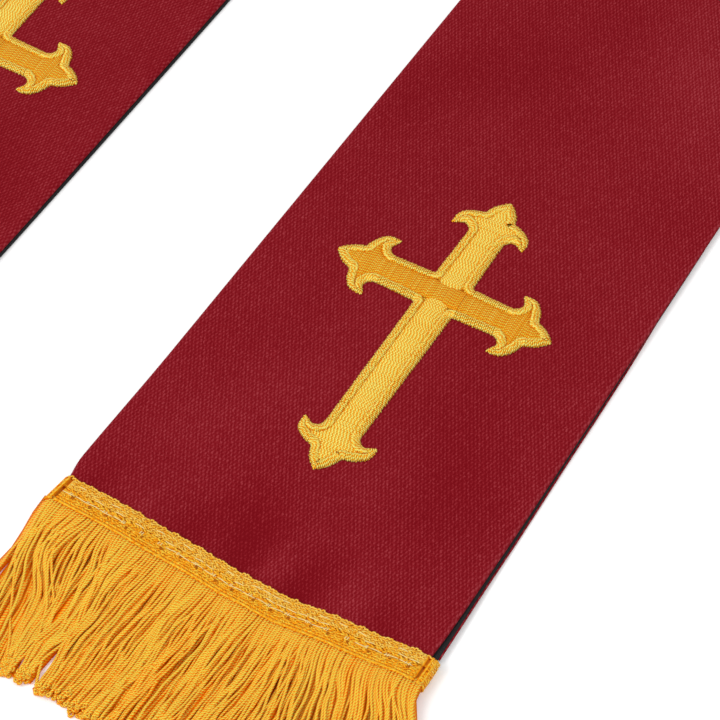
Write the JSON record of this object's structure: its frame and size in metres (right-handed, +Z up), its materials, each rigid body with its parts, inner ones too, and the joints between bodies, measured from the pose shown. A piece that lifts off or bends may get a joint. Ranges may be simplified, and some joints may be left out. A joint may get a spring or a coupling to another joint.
{
  "type": "clergy stole",
  "caption": "Lined red clergy stole laid flat in a long U, with an embroidered gold cross and a looped gold fringe at each end.",
  "frame": {"origin": "middle of the laid-out outline, on the surface that the stole lies on", "axes": "+Z up out of the face of the stole, +Y from the fringed ends towards the neck, +X to the right when the fringed ends point to the viewer"},
  "size_m": [0.3434, 1.299, 0.0057],
  "materials": {
    "crimson_cloth": "matt woven polyester with small staggered dots",
    "black_lining": "plain black lining with a faint sheen",
    "gold_embroidery": "satin stitch in glossy gold thread",
    "gold_fringe": "braided header and twisted looped strands of glossy thread"
  },
  "bodies": {
    "root": {"front_right": "crimson_cloth", "front_left": "crimson_cloth", "lining_right": "black_lining", "lining_left": "black_lining", "cross_right": "gold_embroidery", "cross_left": "gold_embroidery", "fringe_right": "gold_fringe", "fringe_left": "gold_fringe"}
  },
  "joints": []
}
